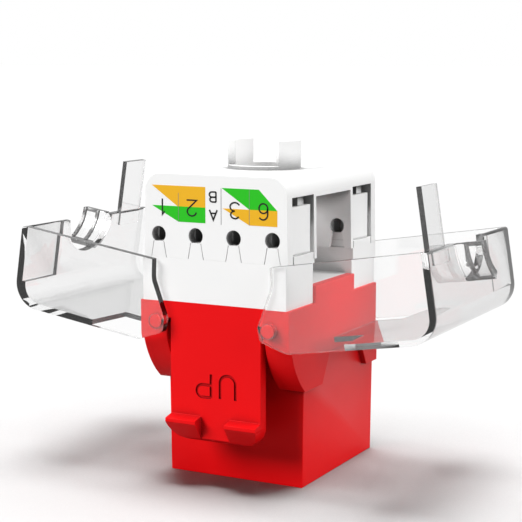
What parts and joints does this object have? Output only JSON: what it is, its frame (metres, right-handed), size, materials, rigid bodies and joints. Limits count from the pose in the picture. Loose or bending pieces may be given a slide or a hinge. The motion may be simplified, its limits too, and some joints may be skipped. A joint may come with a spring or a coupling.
{
  "type": "keystone jack",
  "caption": "Toolless keystone jack with a modular plug port, a sprung panel latch, a slotted wire cap with a cable collar, and two clear hinged wings that close over it.",
  "frame": {"origin": "centre of the nose's port face, which is the face the jack stands on", "axes": "+Z from the port up to the cable end, -Y the latch side, -X and +X the sides the two wings open towards"},
  "size_m": [0.0494, 0.0225, 0.0327],
  "materials": {
    "red_plastic": "satin",
    "white_plastic": "satin",
    "clear_plastic": "clear gloss",
    "black_plastic": "matte",
    "gold_contact": "gold plated",
    "tinned_bronze": "tinned",
    "board": "solder mask"
  },
  "bodies": {
    "jack_body": {"housing": "red_plastic", "contact_insert": "black_plastic", "port_contact_1": "gold_contact", "port_contact_2": "gold_contact", "port_contact_3": "gold_contact", "port_contact_4": "gold_contact", "port_contact_5": "gold_contact", "port_contact_6": "gold_contact", "port_contact_7": "gold_contact", "port_contact_8": "gold_contact", "circuit_board": "board", "terminal_base": "white_plastic", "wire_terminal_1": "tinned_bronze", "wire_terminal_2": "tinned_bronze", "wire_terminal_3": "tinned_bronze", "wire_terminal_4": "tinned_bronze", "wire_terminal_5": "tinned_bronze", "wire_terminal_6": "tinned_bronze", "wire_terminal_7": "tinned_bronze", "wire_terminal_8": "tinned_bronze"},
    "latch_arm": {"latch": "red_plastic"},
    "cap": {"wire_cap": "white_plastic"},
    "wing_left": {"left_wing": "clear_plastic"},
    "wing_right": {"right_wing": "clear_plastic"}
  },
  "joints": [
    {"name": "left_wing_hinge", "type": "hinge", "parent": "jack_body", "child": "wing_left", "pos_m": [-0.006, -0.00205, 0.01585], "axis": [0, 1, 0], "range_deg": [0, 81.1]},
    {"name": "right_wing_hinge", "type": "hinge", "parent": "jack_body", "child": "wing_right", "pos_m": [0.006, -0.00205, 0.01585], "axis": [0, -1, 0], "range_deg": [0, 81.1]},
    {"name": "wire_cap_slide", "type": "slide", "parent": "jack_body", "child": "cap", "axis": [0, 0, 1], "range_m": [0, 0.0012]},
    {"name": "latch_hinge", "type": "hinge", "parent": "jack_body", "child": "latch_arm", "pos_m": [0, -0.01155, 0.0159], "axis": [1, 0, 0], "range_deg": [0, 8], "stiffness_Nm_per_rad": 0.7}
  ]
}
